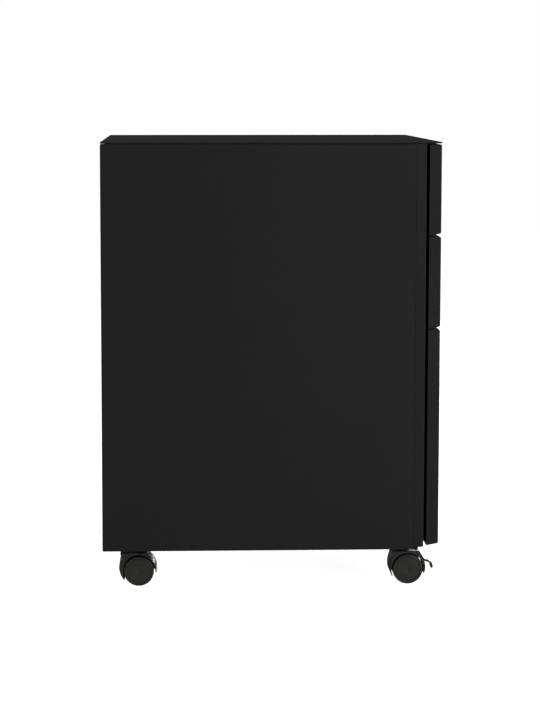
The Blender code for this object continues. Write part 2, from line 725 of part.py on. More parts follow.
def main():
    clear_scene()
    carcass = make_body("carcass", (0, 0, 0))
    for side_name, side in (("left", -1), ("right", 1)):
        make_side_panel(f"side_panel_{side_name}", side, carcass)
        make_front_stile(f"front_stile_{side_name}", side, carcass)
        make_rear_upright(f"rear_upright_{side_name}", side, carcass)
    make_back_panel(carcass)
    make_top_panel(carcass)
    make_base_panel(carcass)
    make_bottom_front_rail(carcass)

    drawers = {}
    faces = {}
    for number, (bottom, top) in FACES.items():
        drawers[number] = make_body(f"drawer_{number}", (0, FRONT, (bottom + top) / 2))
        faces[number] = make_drawer(number, drawers[number])
    middle_members = make_body("slide_3_middle", (0, SLIDE_FRONT, SLIDE_HEIGHTS[3]))
    for side_name, side in (("left", -1), ("right", 1)):
        make_slide(1, side_name, side, carcass, drawers[1])
        make_slide(2, side_name, side, carcass, drawers[2])
        make_slide(3, side_name, side, carcass, drawers[3], middle_members)
        make_hanging_rail(f"hanging_rail_{side_name}", side, drawers[3])

    key = make_body("lock_key", (LOCK_X, FRONT, LOCK_Z))
    make_lock(faces[1], drawers[1], key)
    make_lock_bar(make_body("lock_bar_body", (0, BAR_FRONT, HEIGHT / 2)))
    for place, bottom in GUIDE_BOTTOMS.items():
        make_bar_guide(f"lock_bar_guide_{place}", bottom, carcass)
    make_casters(carcass)


main()
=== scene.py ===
"""The looks of the rolling pedestal cabinet: finishes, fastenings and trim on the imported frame.

X runs across the cabinet, -Y is the drawer side and +Z is up, in metres. Every place comes from
the frame.
"""

import json
import math

import bmesh
import bpy
from mathutils import Matrix, Vector


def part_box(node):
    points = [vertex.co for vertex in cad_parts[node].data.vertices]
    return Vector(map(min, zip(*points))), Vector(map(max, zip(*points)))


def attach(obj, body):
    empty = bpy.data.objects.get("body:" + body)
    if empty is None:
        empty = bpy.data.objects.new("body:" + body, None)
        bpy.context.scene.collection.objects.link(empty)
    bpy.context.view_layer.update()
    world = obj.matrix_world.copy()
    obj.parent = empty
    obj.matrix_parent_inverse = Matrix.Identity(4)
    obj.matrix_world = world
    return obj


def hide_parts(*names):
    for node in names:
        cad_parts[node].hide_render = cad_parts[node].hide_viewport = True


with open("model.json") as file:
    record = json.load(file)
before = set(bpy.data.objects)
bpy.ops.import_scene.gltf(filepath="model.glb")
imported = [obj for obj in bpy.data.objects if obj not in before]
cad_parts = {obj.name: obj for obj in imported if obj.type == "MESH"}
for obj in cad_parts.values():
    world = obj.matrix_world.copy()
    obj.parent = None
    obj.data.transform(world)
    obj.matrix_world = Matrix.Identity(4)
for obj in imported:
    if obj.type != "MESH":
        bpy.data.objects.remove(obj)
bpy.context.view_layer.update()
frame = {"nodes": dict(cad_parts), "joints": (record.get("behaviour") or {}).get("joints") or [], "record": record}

SIDES = (("left", -1), ("right", 1))
DRAWERS = (1, 2, 3)

# Camera: its place, lens and sensor in mm, shift, tilt below the horizon and turn to the drawers
CAMERA_AT = Vector((-2.6215, 0.1261, 0.669))
LENS = 92.49
SENSOR_WIDTH = 36
SHIFT = (0.05, -0.135)
PITCH = math.radians(5.361)
YAW = math.radians(1.814)

# Studio
SURROUND = 0.17
BACKDROP = 1.0
FLOOR_REACH = 6.0
FLOOR_GLOW = 0.94
FLOOR_COLOUR = (0.9, 0.9, 0.9, 1)
LIGHTS_AIM = Vector((0, 0, 0.3))
# Each light's name, place, diameter and watts. The side light stands lower than the cabinet's
# top, which keeps the top dark.
LIGHTS = (
    ("key", (-1.9, -1.9, 1.5), 1.6, 58.0),
    ("fill", (0.6, 2.7, 1.4), 1.8, 34.0),
    ("side", (2.5, -1.1, 0.28), 0.5, 22.0),
)

# Finishes: colours in linear light, and how strongly their surfaces reflect
BLACK = (0.0150, 0.0150, 0.0150)
WORN_BLACK = (0.030, 0.030, 0.030)
INNER_BLACK = (0.0185, 0.0185, 0.0190)
NYLON = (0.0158, 0.0165, 0.0098)
NYLON_PALE = (0.036, 0.037, 0.029)
TREAD = (0.0158, 0.0166, 0.0098)
TREAD_DUST = (0.075, 0.074, 0.066)
ZINC_COOL = (0.56, 0.58, 0.62)
ZINC_WARM = (0.60, 0.58, 0.52)
CHROME = (0.70, 0.70, 0.71)
STEEL = (0.40, 0.40, 0.41)
PAINT_SPECULAR = 0.12
MOULDED_SPECULAR = 0.42
FLOOR_SPECULAR = 0.2
BUMP_STRENGTH = 0.5
DUST_START = 0.0196
DUST_END = 0.0206

# Meshes
SMOOTH_ANGLE = 35
EDGE_STEPS = 4
TOP_EDGE = 0.0005

# Casters, from the wheel's centre
PLATE_THICK = 0.0025
HOOD_EDGE = 0.0016
HOOD_HALF = 0.0184
HOOD_TOP = 0.0245
CAVITY_RADIUS = 0.0221
LINING_RADIUS = 0.0217
WEB_HALF = 0.0066
WEB_RADIUS = 0.0150
CUT_PAST = 0.004
SLOT_PLAY = 0.0002
COLLAR_BORE = 0.0076
COLLAR_RADIUS = 0.0078
COLLAR_GAP = 0.0002
WHEEL_RIBS = 8

# Shares of a hood's edge rounding: none of them lets the outline cross itself as it moves in
TIP_SHARE = 0.12
SHARE_RISE = 1.8
SHOULDER_SHARES = [0.7, 0.45, 0.25]
CROWN_SHARE = 0.2
UNDER_SHARE = 0.05

# Brake lever: the grip's ridges lie between two shares of its length
LEVER_HALF = 0.0060
LEVER_THICK = 0.0034
LEVER_EDGE = 0.0005
LEVER_PLAY = 0.0002
LEVER_BARREL = 0.0021
LEVER_ROOT = 0.72
RIDGE_HEIGHT = 0.00035
RIDGE_COUNT = 9
RIDGES_FROM = 0.45
RIDGES_TO = 0.93
PIN_PROUD = 0.0003

# Fastenings: margins run from the edge of what is fastened
SHEET = 0.0010
SLIDE_SHEET = 0.0012
SCREW_RADIUS = 0.0034
SCREW_HEIGHT = 0.0021
RECESS_REACH = 0.0019
RECESS_HALF = 0.0004
RECESS_DEPTH = 0.0012
RECESS_PAST = 0.001
RIVET_RADIUS = 0.0024
RIVET_HEIGHT = 0.0009
FLUSH_HEIGHT = 0.0004
CASTER_SCREW_MARGIN = 0.0045
SLIDE_RIVET_RISE = 0.006
BOX_RIVET_FRONT = 0.030
BOX_RIVET_BACK = 0.040
RAIL_RIVET_HEIGHT = 0.008
RAIL_RIVET_MARGIN = 0.020
FACE_SCREW_X = 0.120
FACE_SCREW_MARGIN = 0.022
GUIDE_RIVET_MARGIN = 0.005

# Ball cages
BALL_RADIUS = 0.0013
BALL_STEPS = 8
BALL_SPACING = 0.012
BALL_MARGIN = 0.004
BALL_OUTWARDS = 0.0004
CAGE_SHEET = 0.0004
CAGE_LIP = 0.0018
CAGE_SETBACK = 0.004
SHORT_CAGE = 0.086
LONG_CAGE = 0.190

# Lock
BARREL_RADIUS = 0.0090
BARREL_BORE = 0.0062
BARREL_HEAD = 0.0024
PLUG_RADIUS = 0.0060
NUT_RADIUS = 0.0115
THREADS = 10
THREAD_START = 0.0030
THREAD_END = 0.0006


# Shapes


def lathe(profile, axis="X", segments=64):
    """A closed round solid about an axis. The profile is a loop of (distance along it, radius)."""
    shape = bmesh.new()
    rings = []
    for distance, radius in profile:
        if radius == 0:
            rings.append([shape.verts.new((distance, 0, 0))])
            continue
        angles = [2 * math.pi * i / segments for i in range(segments)]
        ring = [(distance, radius * math.cos(a), radius * math.sin(a)) for a in angles]
        rings.append([shape.verts.new(point) for point in ring])
    pairs = list(zip(rings, rings[1:]))
    if profile[0][1] > 0 and profile[-1][1] > 0:
        pairs.append((rings[-1], rings[0]))
    for ring, after in pairs:
        for i in range(segments):
            corners = [ring[i % len(ring)], ring[(i + 1) % len(ring)]]
            corners += [after[(i + 1) % len(after)], after[i % len(after)]]
            shape.faces.new(list(dict.fromkeys(corners)))
    bmesh.ops.recalc_face_normals(shape, faces=shape.faces)
    if axis != "X":
        bmesh.ops.transform(shape, matrix=pointing(axis), verts=shape.verts)
    return shape


def pointing(axis):
    """The turn that brings +X to an axis such as "Z" or "-Y"."""
    direction = Vector([1.0 if letter == axis[-1] else 0.0 for letter in "XYZ"])
    if axis[0] == "-":
        direction.negate()
    return direction.to_track_quat("X", "Z" if axis[-1] != "Z" else "Y").to_matrix().to_4x4()


def slab(corner, opposite):
    """A box between two opposite corners."""
    shape = bmesh.new()
    bmesh.ops.create_cube(shape, size=1.0)
    low = Vector([min(pair) for pair in zip(corner, opposite)])
    high = Vector([max(pair) for pair in zip(corner, opposite)])
    for vert in shape.verts:
        vert.co = (low + high) / 2 + vert.co * (high - low)
    return shape


def inset(outline, amounts):
    """A closed outline moved inwards, each point by its own amount, with its corners kept."""
    area = 0.0
    for (x1, y1), (x2, y2) in zip(outline, outline[1:] + outline[:1]):
        area += x1 * y2 - x2 * y1
    inwards = 1.0 if area > 0 else -1.0
    moved = []
    for i, (point, amount) in enumerate(zip(outline, amounts)):
        here = Vector(point)
        before = (here - Vector(outline[i - 1])).normalized()
        after = (Vector(outline[(i + 1) % len(outline)]) - here).normalized()
        normal = Vector((-before.y - after.y, before.x + after.x)).normalized() * inwards
        spread = max(0.5, normal.dot(Vector((-before.y, before.x)) * inwards))
        moved.append(tuple(here + normal * amount / spread))
    return moved


def rounded_prism(outline, half, edge, roundness=None):
    """An outline in (Y, Z), extruded to both sides in X, with its long edges rounded.

    roundness gives each point's share of the edge's inset. Without it they all have the whole.
    """
    angles = [math.pi / 2 * i / EDGE_STEPS for i in range(EDGE_STEPS + 1)]
    rounding = [(half - edge + edge * math.sin(a), edge * (1 - math.cos(a))) for a in angles]
    shares = roundness or [1.0] * len(outline)
    shape = bmesh.new()
    rings = []
    for side, profile in ((-1, rounding[::-1]), (1, rounding)):
        for x, amount in profile:
            ring = inset(outline, [amount * share for share in shares])
            rings.append([shape.verts.new((side * x, *point)) for point in ring])
    for ring, after in zip(rings, rings[1:]):
        for i in range(len(ring)):
            j = (i + 1) % len(ring)
            shape.faces.new((ring[i], ring[j], after[j], after[i]))
    shape.faces.new(rings[0])
    shape.faces.new(rings[-1])
    bmesh.ops.recalc_face_normals(shape, faces=shape.faces)
    return shape


def smooth_run(points, steps=6):
    """Points on a smooth curve (Catmull-Rom) through the given ones."""
    run = []
    last = len(points) - 1
    for i in range(last):
        p0, p1, p2, p3 = (Vector(points[min(max(i + k, 0), last)]) for k in (-1, 0, 1, 2))
        for step in range(steps):
            t = step / steps
            run.append(tuple(0.5 * (2 * p1 + (p2 - p0) * t
                                    + (2 * p0 - 5 * p1 + 4 * p2 - p3) * t * t
                                    + (3 * p1 - p0 - 3 * p2 + p3) * t * t * t)))
    run.append(tuple(points[-1]))
    return run


def arc(radius, start, end, steps):
    """Points about the wheel's centre, from one angle to another in degrees."""
    angles = [math.radians(start + (end - start) * i / steps) for i in range(steps + 1)]
    return [(radius * math.cos(a), radius * math.sin(a)) for a in angles]


def to_mesh(shape, name, angle=SMOOTH_ANGLE):
    """A mesh from a shape, which is freed, smooth apart from edges sharper than the angle."""
    mesh = bpy.data.meshes.new(name)
    shape.to_mesh(mesh)
    shape.free()
    smooth(mesh, angle)
    return mesh


def smooth(mesh, angle):
    mesh.shade_smooth()
    mesh.set_sharp_from_angle(angle=math.radians(angle))


def combined(name, base, others):
    """A mesh made of a base shape and others, each with UNION or DIFFERENCE."""
    helpers = []
    for i, (shape, _) in enumerate([(base, "")] + others):
        helper = bpy.data.objects.new(f"{name}_helper_{i}", to_mesh(shape, name))
        bpy.context.collection.objects.link(helper)
        helpers.append(helper)
    for helper, (_, operation) in zip(helpers[1:], others):
        boolean = helpers[0].modifiers.new(helper.name, "BOOLEAN")
        boolean.operation = operation
        boolean.object = helper
    graph = bpy.context.evaluated_depsgraph_get()
    mesh = bpy.data.meshes.new_from_object(helpers[0].evaluated_get(graph))
    for helper in helpers:
        bpy.data.objects.remove(helper, do_unlink=True)
    mesh.name = name
    mesh.materials.clear()
    smooth(mesh, SMOOTH_ANGLE)
    return mesh


def add_shape(whole, shape):
    """Adds a shape to another and frees it."""
    mesh = bpy.data.meshes.new("part")
    shape.to_mesh(mesh)
    shape.free()
    whole.from_mesh(mesh)
    bpy.data.meshes.remove(mesh)


def joined(name, parts):
    """One mesh of several copies: parts lists (mesh, matrix)."""
    whole = bmesh.new()
    for mesh, matrix in parts:
        start = len(whole.verts)
        whole.from_mesh(mesh)
        whole.verts.ensure_lookup_table()
        bmesh.ops.transform(whole, matrix=matrix, verts=whole.verts[start:])
    return to_mesh(whole, name)


def place(name, mesh, finishes, slot, body, at=(0, 0, 0), turn=0.0, replaced=()):
    """A piece that rides on a body and has the finish of a material slot."""
    if not mesh.materials:
        mesh.materials.append(finishes[slot])
    piece = bpy.data.objects.new(name, mesh)
    bpy.context.collection.objects.link(piece)
    piece.location = at
    piece.rotation_euler = (0, 0, turn)
    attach(piece, body)
    if replaced:
        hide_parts(*replaced)


def middle_of(node):
    low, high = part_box(node)
    return (low + high) / 2


def spread_along(low, high, count):
    return [low + (high - low) * i / (count - 1) for i in range(count)]


# Materials


def add_node(tree, kind, **settings):
    node = tree.nodes.new("ShaderNode" + kind)
    for name, value in settings.items():
        setattr(node, name, value)
    return node


def new_finish(name, metallic, specular=0.5):
    material = bpy.data.materials.new(name)
    material.use_nodes = True
    shader = material.node_tree.nodes["Principled BSDF"]
    shader.inputs["Metallic"].default_value = metallic
    shader.inputs["Specular IOR Level"].default_value = specular
    return material, material.node_tree, shader


def object_place(tree, stretch):
    """The surface point in the object's own coordinates, stretched by axis."""
    coordinates = add_node(tree, "TexCoord")
    mapping = add_node(tree, "Mapping")
    mapping.inputs["Scale"].default_value = stretch
    tree.links.new(coordinates.outputs["Object"], mapping.inputs["Vector"])
    return mapping.outputs["Vector"]


def noise(tree, scale, detail, stretch=(1, 1, 1)):
    node = add_node(tree, "TexNoise")
    node.inputs["Scale"].default_value = scale
    node.inputs["Detail"].default_value = detail
    tree.links.new(object_place(tree, stretch), node.inputs["Vector"])
    return node.outputs["Fac"]


def remap(tree, value, low=0.0, high=1.0, start=0.3, end=0.7):
    """A value from start to end, brought to low to high."""
    node = add_node(tree, "MapRange", interpolation_type="SMOOTHSTEP")
    node.inputs["From Min"].default_value = start
    node.inputs["From Max"].default_value = end
    node.inputs["To Min"].default_value = low
    node.inputs["To Max"].default_value = high
    tree.links.new(value, node.inputs["Value"])
    return node.outputs["Result"]


def calculate(tree, operation, first, second):
    node = add_node(tree, "Math", operation=operation)
    for socket, value in zip(node.inputs, (first, second)):
        if isinstance(value, float):
            socket.default_value = value
        else:
            tree.links.new(value, socket)
    return node.outputs["Value"]


def mix_colours(tree, factor, first, second):
    node = add_node(tree, "Mix", data_type="RGBA")
    colours = [socket for socket in node.inputs if socket.type == "RGBA"]
    for socket, colour in zip(colours, (first, second)):
        if isinstance(colour, tuple):
            socket.default_value = (*colour, 1.0)
        else:
            tree.links.new(colour, socket)
    tree.links.new(factor, node.inputs["Factor"])
    return next(socket for socket in node.outputs if socket.type == "RGBA")


def edge_factor(tree, radius):
    """0 on flat ground, rising to 1 at edges."""
    bevel = add_node(tree, "Bevel", samples=4)
    bevel.inputs["Radius"].default_value = radius
    normal = add_node(tree, "NewGeometry")
    dot = add_node(tree, "VectorMath", operation="DOT_PRODUCT")
    tree.links.new(bevel.outputs["Normal"], dot.inputs[0])
    tree.links.new(normal.outputs["True Normal"], dot.inputs[1])
    return remap(tree, dot.outputs["Value"], start=0.995, end=0.90)


def add_bump(tree, shader, height, distance):
    bump = add_node(tree, "Bump")
    bump.inputs["Distance"].default_value = distance
    bump.inputs["Strength"].default_value = BUMP_STRENGTH
    tree.links.new(height, bump.inputs["Height"])
    tree.links.new(bump.outputs["Normal"], shader.inputs["Normal"])


def tinted(colour, factor):
    return tuple(channel * factor for channel in colour)


def paint_finish(name, colour, worn, grain, roughness):
    """Powder coat: a fine grain over a slight orange peel, thinner and paler along the edges."""
    material, tree, shader = new_finish(name, metallic=0.0, specular=PAINT_SPECULAR)
    mottle = remap(tree, noise(tree, scale=9.0, detail=5.0))
    ground = mix_colours(tree, mottle, tinted(colour, 0.97), tinted(colour, 1.04))
    breakup = remap(tree, noise(tree, scale=160.0, detail=4.0), high=0.55, start=0.42, end=0.68)
    wear = calculate(tree, "MULTIPLY", edge_factor(tree, radius=0.0009), breakup)
    tree.links.new(mix_colours(tree, wear, ground, worn), shader.inputs["Base Color"])
    sheen = remap(tree, noise(tree, scale=260.0, detail=4.0), *roughness)
    tree.links.new(sheen, shader.inputs["Roughness"])
    peel = calculate(tree, "MULTIPLY", noise(tree, scale=420.0, detail=2.0), 0.6)
    height = calculate(tree, "ADD", noise(tree, scale=grain, detail=2.0), peel)
    add_bump(tree, shader, height, distance=0.00006)
    return material


def moulded_finish(name, colour, pale, roughness, dusty=False):
    """Moulded nylon: spark-eroded texture, faint flow marks, and edges rubbed paler."""
    material, tree, shader = new_finish(name, metallic=0.0, specular=MOULDED_SPECULAR)
    flow = noise(tree, scale=55.0, detail=3.0, stretch=(1.0, 0.35, 1.0))
    ground = mix_colours(tree, remap(tree, flow), tinted(colour, 0.92), tinted(colour, 1.10))
    rubbed = remap(tree, noise(tree, scale=240.0, detail=3.0), high=0.7)
    wear = calculate(tree, "MULTIPLY", edge_factor(tree, radius=0.0006), rubbed)
    painted = mix_colours(tree, wear, ground, pale)
    if dusty:
        painted = mix_colours(tree, rim_dust(tree), painted, TREAD_DUST)
    tree.links.new(painted, shader.inputs["Base Color"])
    sheen = remap(tree, noise(tree, scale=70.0, detail=4.0), *roughness)
    tree.links.new(sheen, shader.inputs["Roughness"])
    faint_flow = calculate(tree, "MULTIPLY", flow, 0.5)
    height = calculate(tree, "ADD", noise(tree, scale=1500.0, detail=2.0), faint_flow)
    add_bump(tree, shader, height, distance=0.00005)
    return material


def rim_dust(tree):
    """Scuffed dust on a wheel's tread, by distance from its axle along X."""
    away = add_node(tree, "VectorMath", operation="LENGTH")
    tree.links.new(object_place(tree, stretch=(0, 1, 1)), away.inputs[0])
    near_rim = remap(tree, away.outputs["Value"], start=DUST_START, end=DUST_END)
    patches = remap(tree, noise(tree, scale=260.0, detail=5.0), high=0.55, start=0.45, end=0.75)
    return calculate(tree, "MULTIPLY", near_rim, patches)


def metal_finish(name, first, second, roughness, stretch):
    """Plated or plain metal: cloudy tint, drawn streaks and fine scratches."""
    material, tree, shader = new_finish(name, metallic=1.0)
    cloud = remap(tree, noise(tree, scale=14.0, detail=4.0))
    streaks = noise(tree, scale=900.0, detail=2.0, stretch=stretch)
    clouded = mix_colours(tree, cloud, first, second)
    shade = mix_colours(tree, remap(tree, streaks, high=0.35), clouded, tinted(first, 0.6))
    tree.links.new(shade, shader.inputs["Base Color"])
    sheen = remap(tree, noise(tree, scale=120.0, detail=5.0, stretch=stretch), *roughness)
    tree.links.new(sheen, shader.inputs["Roughness"])
    add_bump(tree, shader, streaks, distance=0.00002)
    return material


def make_finishes():
    along_y = (1.0, 0.03, 1.0)
    along_x = (0.05, 1.0, 1.0)
    even = (1.0, 1.0, 1.0)
    dull_chrome = tinted(CHROME, 0.93)
    dull_steel = tinted(STEEL, 0.85)
    return {
        "powder_coat": paint_finish("powder_coat_black", BLACK, WORN_BLACK, grain=1900.0,
                                    roughness=(0.60, 0.72)),
        "inner_coat": paint_finish("inner_coat_black", INNER_BLACK, WORN_BLACK, grain=1300.0,
                                   roughness=(0.45, 0.56)),
        "zinc": metal_finish("zinc_plate", ZINC_COOL, ZINC_WARM, (0.26, 0.42), along_y),
        "chrome": metal_finish("nickel_chrome", CHROME, dull_chrome, (0.08, 0.20), even),
        "steel": metal_finish("turned_steel", STEEL, dull_steel, (0.22, 0.40), along_x),
        "nylon": moulded_finish("moulded_nylon", NYLON, NYLON_PALE, (0.28, 0.40)),
        "tread": moulded_finish("moulded_wheel", TREAD, NYLON_PALE, (0.38, 0.52), dusty=True),
    }


def soften_edges(node, width):
    """Rounds a carried-over node's sharp sheet edges, without touching its mesh."""
    weld = node.modifiers.new("weld", "WELD")
    weld.merge_threshold = 0.00001
    bevel = node.modifiers.new("edge", "BEVEL")
    bevel.width = width
    bevel.segments = 2
    bevel.limit_method = "ANGLE"
    bevel.angle_limit = math.radians(50)
    bevel.harden_normals = True


def finish_frame(finishes):
    """Gives each carried-over node the finish of its slot, and the top softer edges."""
    for subpart in frame["record"]["subparts"]:
        node = frame["nodes"][subpart["node"]]
        for material_slot in node.material_slots:
            material_slot.link = "OBJECT"
            material_slot.material = finishes[subpart["material_slot"]]
    soften_edges(frame["nodes"]["top_panel"], TOP_EDGE)


# Casters


def side_shares(count):
    """Shares of the edge's rounding along one side of a hood, from its tip up to its crown."""
    shares = [min(1.0, TIP_SHARE + SHARE_RISE * i / count) for i in range(count)]
    shares[-len(SHOULDER_SHARES):] = SHOULDER_SHARES
    return shares


def hood_outline(braked):
    """The hood from the side, as (trail, height), with each point's share of its edge's rounding.

    It runs up the trailing side, over the crown, down the leading side and back round the web.
    """
    if braked:
        trailing = [(0.0226, -0.0064), (0.0238, -0.0030), (0.0243, 0.0010), (0.0241, 0.0060),
                    (0.0230, 0.0110)]
        crown = [(0.0212, 0.0152), (0.0180, 0.0212), (0.0168, HOOD_TOP - 0.0006),
                 (0.0158, HOOD_TOP), (-0.0200, HOOD_TOP), (-0.0210, HOOD_TOP - 0.0008)]
        leading = [(-0.0212, 0.0172), (-0.0226, 0.0130), (-0.0240, 0.0070), (-0.0243, 0.0010),
                   (-0.0236, -0.0045), (-0.0214, -0.0098)]
        trailing_tip = -14
        leading_tip = 203
    else:
        trailing = [(0.0200, -0.0128), (0.0228, -0.0090), (0.0253, -0.0035), (0.0266, 0.0020),
                    (0.0268, 0.0060), (0.0257, 0.0115), (0.0236, 0.0166)]
        crown = [(0.0240, 0.0190), (0.0251, 0.0233), (0.0250, 0.0241), (0.0244, HOOD_TOP),
                 (-0.0078, HOOD_TOP), (-0.0092, HOOD_TOP - 0.0006)]
        leading = [(-0.0108, 0.0225), (-0.0172, 0.0163), (-0.0214, 0.0106), (-0.0234, 0.0055),
                   (-0.0241, 0.0015), (-0.0240, -0.0018)]
        trailing_tip = -30
        leading_tip = 184
    under = arc(LINING_RADIUS, leading_tip, 180, 5) + arc(WEB_RADIUS, 180, 360, 24)
    under += arc(LINING_RADIUS, 0, trailing_tip, 6)
    trailing = smooth_run(trailing)
    leading = smooth_run(leading)
    shares = side_shares(len(trailing)) + [CROWN_SHARE] * len(crown)
    shares += side_shares(len(leading))[::-1] + [UNDER_SHARE] * len(under)
    return trailing + crown + leading + under, shares


def hood_mesh(braked):
    """A moulded hood: two wheel housings beside a web, and a slot for the lever if it's braked."""
    outside = HOOD_HALF + CUT_PAST
    cuts = []
    for side in (1, -1):
        near = side * WEB_HALF
        far = side * outside
        cavity = [(near, 0), (near, CAVITY_RADIUS), (far, CAVITY_RADIUS), (far, 0)]
        cuts.append((lathe(cavity, segments=96), "DIFFERENCE"))
    if braked:
        slot = arc(0.0206, 60, 9, 16) + [(0.0330, 0.0032), (0.0330, 0.0320), (0.0103, 0.0320)]
        cuts.append((rounded_prism(slot, WEB_HALF + SLOT_PLAY, SLOT_PLAY), "DIFFERENCE"))
    outline, shares = hood_outline(braked)
    name = "hood_braked" if braked else "hood_plain"
    return combined(name, rounded_prism(outline, HOOD_HALF, HOOD_EDGE, shares), cuts)


def wheel_mesh():
    """A wheel about X, closed on its +X side: a raised rim, a shallow dish, and ribs inside."""
    face = [(0.0190, 0), (0.0190, 0.0026), (0.01925, 0.0031), (0.0193, 0.0085),
            (0.01905, 0.0160)]
    rim = [(0.0187, 0.0164), (0.0187, 0.0171), (0.01935, 0.0175), (0.0195, 0.0180),
           (0.0195, 0.0190)]
    tread = [(0.0193, 0.0196), (0.0188, 0.0201), (0.0180, 0.0204), (0.0132, 0.0205),
             (0.0083, 0.0204)]
    inner_rim = [(0.0075, 0.0201), (0.0070, 0.0196), (0.0068, 0.0190), (0.0068, 0.0183),
                 (0.0072, 0.0179)]
    hollow = [(0.0168, 0.0176), (0.0172, 0.0172), (0.0172, 0.0056), (0.0168, 0.0052),
              (0.0072, 0.0050)]
    sleeve = [(0.0068, 0.0046), (0.0068, 0.0028), (0.0165, 0.0028), (0.0165, 0)]
    solid = lathe(face + rim + tread + inner_rim + hollow + sleeve, segments=72)
    ribs = bmesh.new()
    for i in range(WHEEL_RIBS):
        rib = slab((0.0090, 0.0045, -0.0005), (0.0176, 0.0180, 0.0005))
        turned = Matrix.Rotation(2 * math.pi * (i + 0.5) / WHEEL_RIBS, 4, "X")
        bmesh.ops.transform(rib, matrix=turned, verts=rib.verts)
        add_shape(ribs, rib)
    return combined("wheel", solid, [(ribs, "UNION")])


def lever_mesh():
    """A curved brake tab, its barrel on the pivot, with grip ridges across its far end."""
    line = smooth_run([(0, 0), (0.0045, -0.0051), (0.0083, -0.0096), (0.0115, -0.0120),
                       (0.0150, -0.0129), (0.0179, -0.0150), (0.0195, -0.0184),
                       (0.0199, -0.0212)], 8)
    last = len(line) - 1
    upper = []
    lower = []
    for i, point in enumerate(line):
        before = Vector(line[max(i - 1, 0)])
        after = Vector(line[min(i + 1, last)])
        direction = (after - before).normalized()
        normal = Vector((-direction.y, direction.x))
        along = i / last
        half = LEVER_THICK / 2 * (LEVER_ROOT + (1 - LEVER_ROOT) * along)
        ridge = 0.0
        if RIDGES_FROM < along < RIDGES_TO:
            ridge = RIDGE_HEIGHT * max(0.0, math.sin(2 * math.pi * RIDGE_COUNT * along))
        upper.append(tuple(Vector(point) + normal * (half + ridge)))
        lower.append(tuple(Vector(point) - normal * half))
    (x1, y1), (x2, y2) = line[-2:]
    tip_angle = math.atan2(y2 - y1, x2 - x1)
    radius = LEVER_THICK / 2
    tip = []
    for i in range(1, 6):
        angle = tip_angle + math.pi / 2 - math.pi * i / 6
        tip.append((x2 + radius * math.cos(angle), y2 + radius * math.sin(angle)))
    outline = upper + tip + lower[::-1]
    reach = LEVER_HALF - LEVER_PLAY
    barrel = lathe([(-reach, 0), (-reach, LEVER_BARREL), (reach, LEVER_BARREL), (reach, 0)],
                   segments=32)
    return combined("lever", rounded_prism(outline, LEVER_HALF, LEVER_EDGE), [(barrel, "UNION")])


def pin_mesh():
    """The end of the lever's pin along +X, riveted to a dome, with its shank inside the hood."""
    profile = [(-0.0030, 0), (-0.0030, 0.0011), (0, 0.0011), (0, 0.0014), (0.0002, 0.0014),
               (0.0005, 0.0009), (0.0006, 0)]
    return to_mesh(lathe(profile, segments=24), "pin")


def collar_mesh(height):
    """The dust collar round the kingpin's boss, flared at its top."""
    top = height - COLLAR_GAP
    profile = [(0.0003, COLLAR_BORE), (0.0003, COLLAR_RADIUS), (0.0010, COLLAR_RADIUS + 0.0003)]
    profile += [(height - 0.0016, COLLAR_RADIUS + 0.0003),
                (height - 0.0008, COLLAR_RADIUS + 0.0012)]
    profile += [(top, COLLAR_RADIUS + 0.0013), (top, COLLAR_BORE)]
    return to_mesh(lathe(profile, "Z"), "collar")


def make_casters(finishes, screw):
    hoods = {False: hood_mesh(False), True: hood_mesh(True)}
    wheel = wheel_mesh()
    lever = lever_mesh()
    pin = pin_mesh()
    collar = None
    for end in ("rear", "front"):
        braked = end == "front"
        turn = math.pi if braked else 0.0
        for side, _ in SIDES:
            name = f"{end}_{side}"
            hub = middle_of(f"caster_axle_{name}")
            place(f"hood_{name}", hoods[braked], finishes, "nylon", f"swivel_{name}", hub, turn,
                  [f"caster_hood_{name}"])
            for wheel_side, faces in (("left", math.pi), ("right", 0.0)):
                key = f"{name}_{wheel_side}"
                place(f"tyre_{key}", wheel, finishes, "tread", f"wheel_body_{key}", hub, faces,
                      [f"wheel_{key}"])
            if braked:
                add_brake(name, lever, pin, turn, finishes)
            low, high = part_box(f"caster_plate_{name}")
            centre = (low + high) / 2
            plate_under = high.z - PLATE_THICK
            hood_top = hub.z + HOOD_TOP
            if collar is None:
                collar = collar_mesh(plate_under - hood_top)
            place(f"caster_collar_{name}", collar, finishes, "nylon", "carcass",
                  (centre.x, centre.y, hood_top))
            reach = (high.x - low.x) / 2 - CASTER_SCREW_MARGIN
            spots = [(centre.x + i * reach, centre.y + j * reach, plate_under)
                     for i in (-1, 1) for j in (-1, 1)]
            fasten(f"caster_screws_{name}", screw, spots, "-Z", finishes, "zinc", "carcass")


def add_brake(name, lever, pin, turn, finishes):
    """A caster's brake lever on its pivot, and the two ends of its pin on the hood."""
    joint = f"brake_{name}_press"
    pivot = next(j["pos_m"] for j in frame["joints"] if j["name"] == joint)
    place(f"pedal_{name}", lever, finishes, "nylon", f"brake_body_{name}", pivot, turn,
          [f"brake_lever_{name}"])
    parts = []
    for sign, axis in ((-1, "-X"), (1, "X")):
        end = Vector((pivot[0] + sign * (HOOD_HALF + PIN_PROUD), pivot[1], pivot[2]))
        parts.append((pin, Matrix.Translation(end) @ pointing(axis)))
    place(f"brake_pin_{name}", joined("brake_pin", parts), finishes, "nylon", f"swivel_{name}")


# Fastenings


